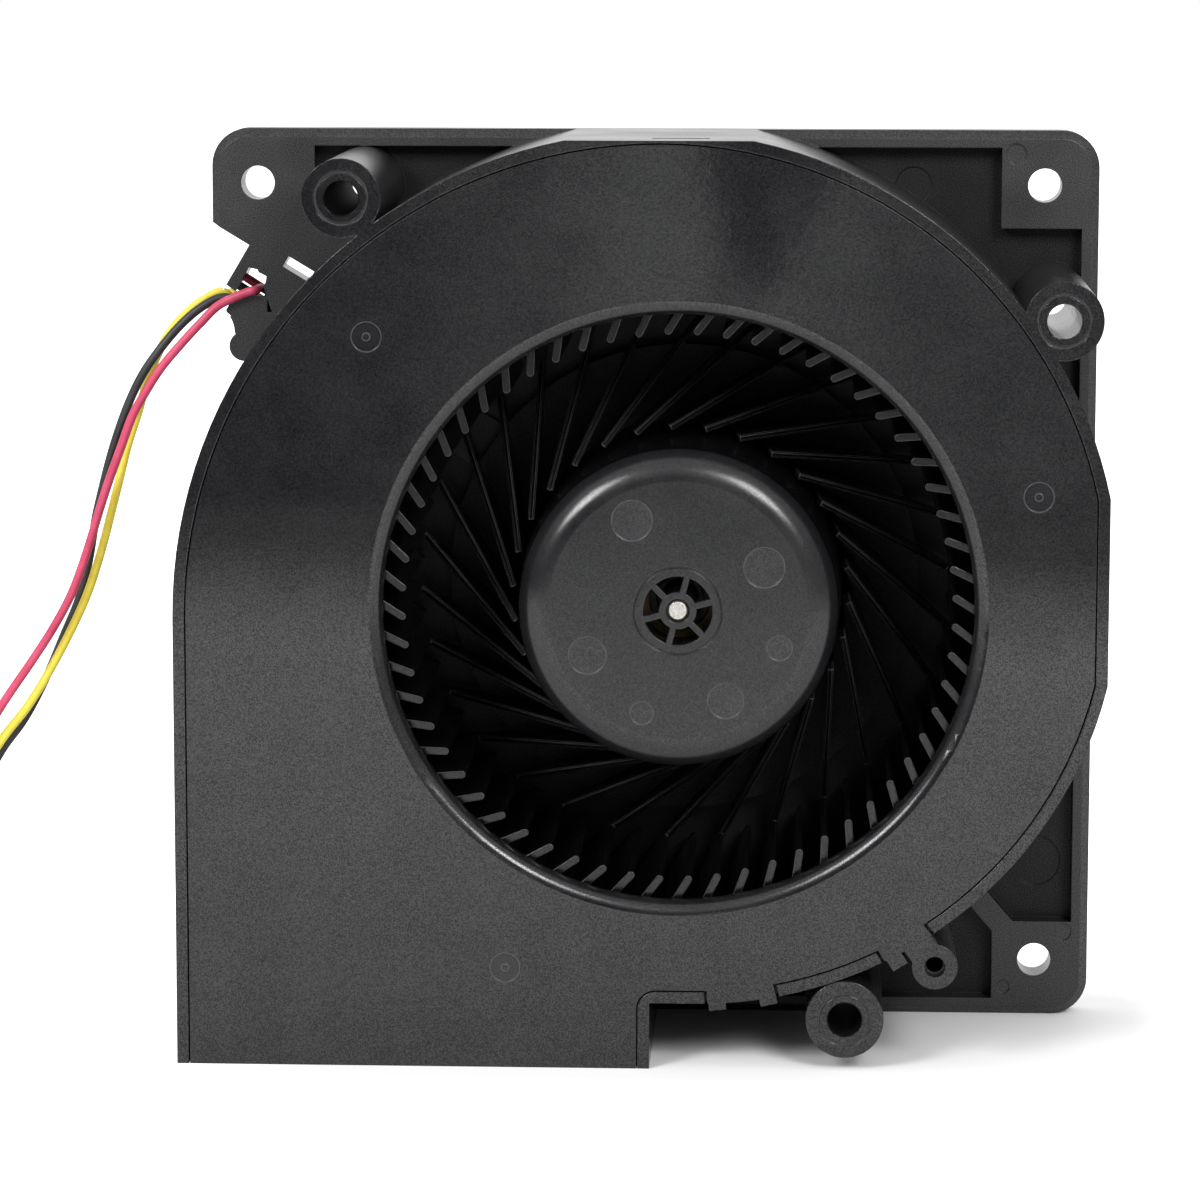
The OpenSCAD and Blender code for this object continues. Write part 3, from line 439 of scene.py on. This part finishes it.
def moulded(name, dark, light, roughness, grain, edge_mm=0.25, drawn=None, walls=(0.3, 0.9), marks=(),
            outlines=(), shade=None, dull=None, pale=None, sleek=None):
    """Moulded plastic: fine grain in colour and gloss, a soft mottle and slightly uneven roughness.

    Walls along the mould's pull have the roughness drawn, and walls says how far they may
    lean. Marks are discs and outlines rings, both with pale rims that are painted highlights. Shade makes a
    mask of where shade is painted in, dull of where the plastic shines less, pale of where its edges get
    painted highlights and sleek of where it is smoother.
    """
    finish = Finish(name)
    fine = finish.noise(GRAIN_MM, 1)
    tone = finish.maths("ADD", fine, finish.span(finish.noise(MOTTLE_MM, 3), -0.1, 0.1))
    gloss = finish.span(fine, 0.5 - grain, 0.5 + grain, 0.35, 0.65)
    uneven = finish.span(finish.noise(SHEEN_MM, 3), roughness * 0.85, roughness * 1.2)
    if drawn is not None:
        facing = finish.maths("ABSOLUTE", finish.axis(finish.facing, "Y"))
        uneven = finish.maths("MULTIPLY", uneven, finish.span(facing, drawn / roughness, 1.0, *walls))
    if marks:
        spot = finish.rounds(marks)
        tone = finish.maths("ADD", tone, finish.maths("MULTIPLY", spot, MARK_TONE))
        uneven = finish.maths("ADD", uneven, finish.maths("MULTIPLY", spot, MARK_ROUGHNESS))
    # Painted shade: the shade mask takes tone off
    if shade is not None:
        tone = finish.maths("SUBTRACT", tone, finish.maths("MULTIPLY", shade(finish), SHADE_TONE))
    if dull is not None:
        mask = dull(finish)
        gloss = finish.maths("MULTIPLY", gloss, finish.outside(finish.maths("MULTIPLY", mask, DULL_GLOSS)))
        uneven = finish.maths("MAXIMUM", uneven, finish.maths("MULTIPLY", mask, DULL_ROUGHNESS))
    if sleek is not None:
        mask = sleek(finish)
        tone = finish.maths("SUBTRACT", tone, finish.maths("MULTIPLY", mask, SLEEK_TONE))
        uneven = finish.maths("MULTIPLY", uneven, finish.span(mask, 1.0, SLEEK_ROUGHNESS, 0.0, 1.0))
    finish.colour(dark, light, tone)
    # Pale lines on the real rims of marks and outlines, as a painted highlight
    if marks or outlines:
        finish.over(RIM_HIGHLIGHT_COLOUR, finish.rounds((*marks, *outlines), RIM_HIGHLIGHT_MM))
    # Painted highlights along edges, where pale says
    if pale is not None:
        finish.over(EDGE_HIGHLIGHT_COLOUR, finish.maths("MULTIPLY", finish.edges(EDGE_HIGHLIGHT_MM), pale(finish)))
    finish.feed("Roughness", uneven)
    finish.feed("Specular IOR Level", gloss)
    finish.soften(edge_mm)
    finish.bump(finish.noise(RIPPLE_MM, 2), grain * 0.5, 0.02)
    finish.bump(fine, grain * 0.15, 0.01)
    return finish.done()


def metal(name, dark, light, roughness, stretch):
    """Bare metal with fine marks along the way it was worked."""
    finish = Finish(name, metallic=1.0)
    finish.colour(dark, light, finish.noise(0.3, 2, stretch))
    finish.feed("Roughness", finish.span(finish.noise(0.5, 2, stretch), roughness - 0.06, roughness + 0.08))
    finish.soften(0.1)
    finish.bump(finish.noise(0.15, 2, stretch), 0.15, 0.01)
    return finish.done()


def lead_skin(name, dark, light):
    """Extruded insulation: smooth, with a faint waver of colour along it."""
    finish = Finish(name, specular=0.4)
    finish.colour(dark, light, finish.noise(3, 2))
    finish.feed("Roughness", finish.span(finish.noise(2, 2), 0.38, 0.5))
    finish.bump(finish.noise(0.6, 2), 0.12, 0.02)
    return finish.done()


# Moulding marks in millimetres: the hub's as angle, distance from the axis and radius, the others as places
HUB_MARKS = [(117, 13, 2.6), (27, 12.4, 2.6), (207, 13, 2.4), (251, 14.1, 1.5), (298, 13.2, 2.3),
             (340, 13.9, 1.6)]
GATES = [(-34.8, 95), (50.9, 75), (-17.2, 13.2)]
GATE_RADII = (0.5, 1.9)
BOSSES = [(-37.9, 112.6), (26.8, 6.8), (53.8, 97.4)]
BOSS_RING_R = 3.35
# Boss bores that get painted shade
PAINTED_SHADE_BORES = BOSSES[:2]
BORE_R = 2.4

# Radii about the rotor's axis, and y places between which a mask rises, in millimetres
HUB_R = 20.6
BLADES_R = 40
FRONT_FACES = (-18.9, -18.85)
POCKET_FLOOR = (14.5, 16.5)
BEHIND_HUB = (-18, -15.5)
BACK_DISC = (11.5, 13)


def casing_painted_shade(finish):
    """Painted shade in two boss bores, and on the pockets' floors where they face the front."""
    front = finish.span(finish.axis(finish.facing, "Y"), 1.0, 0.0, -0.5, 0.0)
    floors = finish.maths("MULTIPLY", finish.depth(*POCKET_FLOOR, 0.7), front)
    return finish.maths("MAXIMUM", finish.rounds([(*place, BORE_R) for place in PAINTED_SHADE_BORES]), floors)


def casing_front(finish):
    """The rim's and the bosses' faces, level with the cover."""
    return finish.outside(finish.depth(*FRONT_FACES))


def beside_hub(finish):
    return finish.outside(finish.rounds([(*AXIS, HUB_R)]))


def blade_ring(finish):
    return finish.outside(finish.rounds([(*AXIS, BLADES_R)]))


def rotor_edge_highlight(finish):
    """Painted highlights on the ribs' edges, and fainter ones on the blades' edges."""
    return finish.maths("SUBTRACT", beside_hub(finish), finish.maths("MULTIPLY", blade_ring(finish), 0.75))


def rotor_painted_shade(finish):
    """Painted shade on the blades and ribs, and a little less on the back disc."""
    behind = finish.maths("SUBTRACT", finish.depth(*BEHIND_HUB), finish.depth(*BACK_DISC, 0.3))
    return finish.maths("MULTIPLY", behind, beside_hub(finish))


def rotor_dull(finish):
    """The back disc and the blades' tips."""
    blades = finish.maths("MULTIPLY", finish.depth(*BEHIND_HUB), blade_ring(finish))
    return finish.maths("MAXIMUM", finish.depth(*BACK_DISC, 0.8), blades)


def make_finishes():
    """One material for each of the record's slots, and the two that OWN_FINISH names."""
    hub_marks = []
    for angle, reach, radius in HUB_MARKS:
        turn = math.radians(angle)
        hub_marks.append((AXIS[0] + reach * math.cos(turn), AXIS[1] + reach * math.sin(turn), radius))
    gates = [(*place, radius) for place in GATES for radius in GATE_RADII]
    boss_rings = [(*place, BOSS_RING_R) for place in BOSSES]
    # Ways in which a metal's marks run
    even = (1, 1, 1)
    along = (1, 12, 1)
    around = (12, 1, 12)
    upward = (1, 1, 12)
    return {
        "casing_plastic": moulded(
            "casing_plastic", (0.008, 0.008, 0.009), (0.02, 0.02, 0.021), 0.45, 0.26, drawn=0.19,
            outlines=boss_rings, shade=casing_painted_shade, dull=casing_painted_shade, sleek=casing_front),
        "cover_plastic": moulded(
            "cover_plastic", (0.005, 0.005, 0.006), (0.015, 0.015, 0.016), 0.042, 0.2, edge_mm=0.12,
            drawn=0.22, walls=(0.93, 0.995), outlines=gates),
        "impeller_plastic": moulded(
            "impeller_plastic", (0.006, 0.006, 0.007), (0.013, 0.013, 0.014), 0.22, 0.14,
            marks=hub_marks, shade=rotor_painted_shade, dull=rotor_dull, pale=rotor_edge_highlight),
        "shaft_steel": metal("shaft_steel", (0.5, 0.48, 0.45), (0.72, 0.69, 0.65), 0.35, even),
        "spring_steel": metal("spring_steel", (0.08, 0.08, 0.08), (0.13, 0.13, 0.13), 0.4, even),
        "yoke_steel": metal("yoke_steel", (0.05, 0.05, 0.05), (0.09, 0.09, 0.09), 0.5, along),
        "ferrite": moulded("ferrite", (0.04, 0.04, 0.042), (0.06, 0.06, 0.06), 0.6, 0.3),
        "brass": metal("brass", (0.14, 0.1, 0.05), (0.2, 0.15, 0.08), 0.5, along),
        "bearing_steel": metal("bearing_steel", (0.06, 0.058, 0.052), (0.1, 0.095, 0.085), 0.5, even),
        "core_steel": metal("core_steel", (0.3, 0.3, 0.31), (0.42, 0.42, 0.43), 0.45, around),
        "nylon": moulded("nylon", (0.68, 0.65, 0.55), (0.76, 0.73, 0.64), 0.5, 0.1),
        "copper": metal("copper", (0.5, 0.2, 0.08), (0.66, 0.32, 0.15), 0.3, upward),
        "board": moulded("board", (0.02, 0.13, 0.05), (0.03, 0.18, 0.08), 0.4, 0.08),
        "chip": moulded("chip", (0.012, 0.012, 0.012), (0.02, 0.02, 0.02), 0.5, 0.2),
        "ceramic": moulded("ceramic", (0.4, 0.3, 0.2), (0.5, 0.4, 0.28), 0.45, 0.1),
        "lead_red": lead_skin("lead_red", (0.48, 0.045, 0.1), (0.58, 0.07, 0.14)),
        "lead_yellow": lead_skin("lead_yellow", (0.76, 0.62, 0.06), (0.86, 0.72, 0.09)),
        "lead_black": lead_skin("lead_black", (0.02, 0.02, 0.02), (0.03, 0.03, 0.03)),
        "tie": moulded("tie", (0.014, 0.014, 0.014), (0.02, 0.02, 0.02), 0.45, 0.1),
        "connector": moulded("connector", (0.66, 0.64, 0.57), (0.74, 0.72, 0.66), 0.4, 0.08),
    }


# Nodes whose finish differs from that of their slot
OWN_FINISH = {"front_cover": "cover_plastic", "preload_spring": "spring_steel"}


def paint_nodes(materials):
    """Every CAD node takes the finish of its own slot, or its own finish."""
    for part in frame["record"]["subparts"]:
        material = materials[OWN_FINISH.get(part["node"], part["material_slot"])]
        mesh = nodes[part["node"]].data
        if not mesh.materials:
            mesh.materials.append(None)
        for i in range(len(mesh.materials)):
            mesh.materials[i] = material


# Studio

# The floor in metres. It ends in front of the object, where its colour fades along a slightly turned line
FLOOR = [(-3, -0.6, 0), (3, -0.6, 0), (3, 6, 0), (-3, 6, 0)]
FLOOR_TURN = 0.15
FLOOR_FADE = (-0.53, -0.37)

# Boxes about which the floor keeps its shadows: centre, half of the size, and where white starts and is full
SHADOWS = [
    ((0.012, 0, 0), (0.05, 0.02, 0), (0.004, 0.045)),
    ((-0.124, 0.03, 0), (0.016, 0.014, 0), (0.002, 0.018)),
]

# Two equal softboxes: their places, what they face, and their size and power
SOFTBOXES = {"softbox_left": (-0.46, -0.58, 0.485), "softbox_right": (0.34, -0.65, 0.49)}
SOFTBOX_AIM = (0.0, 0.0, 0.06)
SOFTBOX_SIZE = (0.26, 0.3)
SOFTBOX_POWER = 4.4

# A dark wedge in the room in front, as its lean, its place, and how its half width grows with height
WEDGE_LEAN = 0.234
WEDGE_PLACE = 0.0062
WEDGE_GROWTH = 0.375
WEDGE_HALF = 0.034


def add_floor():
    """Pale floor that keeps the object's shadow, turns white further off and ends in front of the object."""
    mesh = bpy.data.meshes.new("floor")
    mesh.from_pydata(FLOOR, [], [tuple(range(len(FLOOR)))])
    floor = bpy.data.objects.new("floor", mesh)
    bpy.context.scene.collection.objects.link(floor)
    finish = Finish("floor", specular=0.1)
    turned = finish.maths("MULTIPLY", finish.axis(finish.place, "X"), FLOOR_TURN)
    edge = finish.maths("SUBTRACT", finish.axis(finish.place, "Y"), turned)
    lit = finish.span(edge, 0.0, 0.68, *FLOOR_FADE)
    tone = finish.maths("ADD", lit, finish.span(finish.noise(300, 2), -0.02, 0.02))
    finish.colour((0.5, 0.5, 0.5), (0.92, 0.92, 0.92), tone)
    finish.feed("Roughness", 0.7)
    far = 1.0
    for centre, half, reach in SHADOWS:
        far = finish.maths("MINIMUM", finish.span(finish.beyond(centre, half), 0.0, 1.0, *reach), far)
    seen = finish.node("ShaderNodeLightPath").outputs["Is Camera Ray"]
    finish.feed("Emission Color", (1, 1, 1, 1))
    finish.feed("Emission Strength", finish.maths("MULTIPLY", far, seen))
    mesh.materials.append(finish.done())


def add_light(name, place):
    data = bpy.data.lights.new(name, "AREA")
    data.shape = "RECTANGLE"
    data.size, data.size_y = SOFTBOX_SIZE
    data.energy = SOFTBOX_POWER
    light = bpy.data.objects.new(name, data)
    aim = Vector(SOFTBOX_AIM) - Vector(place)
    light.matrix_world = Matrix.Translation(place) @ aim.to_track_quat("-Z", "Y").to_matrix().to_4x4()
    light.visible_camera = False
    bpy.context.scene.collection.objects.link(light)


def add_world():
    """White to the camera; to reflections, bright behind and above and dark in front."""
    world = bpy.data.worlds.new("studio")
    bpy.context.scene.world = world
    world.use_nodes = True
    world.node_tree.nodes.clear()
    room = NodeTree(world.node_tree)

    def ramp(value, start, end, low, high):
        return room.span(value, low, high, start, end, "SMOOTHSTEP")

    towards = room.node("ShaderNodeTexCoord").outputs["Generated"]
    across, ahead, up = (room.axis(towards, name) for name in "XYZ")
    behind = ramp(ahead, -0.1, 0.35, 0.0, 1.0)
    above = ramp(up, 0.1, 0.6, 0.12, 0.9)

    # In front: a grey wall on the right, with a paler pane at its left end, both cut by the dark wedge
    wall = ramp(across, -0.1, -0.06, 0.1, 0.42)
    pane = room.maths("MULTIPLY", ramp(across, -0.06, -0.03, 0.0, 0.55), ramp(across, 0.03, -0.01, 0.0, 1.0))
    pane = room.maths("MULTIPLY", pane, ramp(up, -0.11, -0.08, 0.0, 1.0))
    slant = room.maths("SUBTRACT", across, room.maths("MULTIPLY", up, WEDGE_LEAN))
    off = room.maths("ABSOLUTE", room.maths("SUBTRACT", slant, WEDGE_PLACE))
    half = room.maths("ADD", room.maths("MULTIPLY", up, WEDGE_GROWTH), WEDGE_HALF)
    wedge = ramp(room.maths("SUBTRACT", off, half), -0.004, 0.003, 0.0, 1.0)
    front = room.maths("MULTIPLY", room.maths("ADD", wall, pane), wedge)

    seen = room.node("ShaderNodeLightPath").outputs
    strength = room.maths("MAXIMUM", seen["Is Camera Ray"], seen["Is Transmission Ray"])
    for light in (behind, above, front):
        strength = room.maths("MAXIMUM", strength, light)
    background = room.node("ShaderNodeBackground", {"Color": (1, 1, 1, 1), "Strength": strength})
    room.node("ShaderNodeOutputWorld", {"Surface": background.outputs["Background"]})


def add_studio():
    add_floor()
    add_world()
    for name, place in SOFTBOXES.items():
        add_light(name, place)


add_camera()
finishes = make_finishes()
add_leads(finishes)
add_shields(finishes["bearing_steel"])
paint_nodes(finishes)
add_studio()
bpy.context.scene.view_settings.view_transform = "Standard"
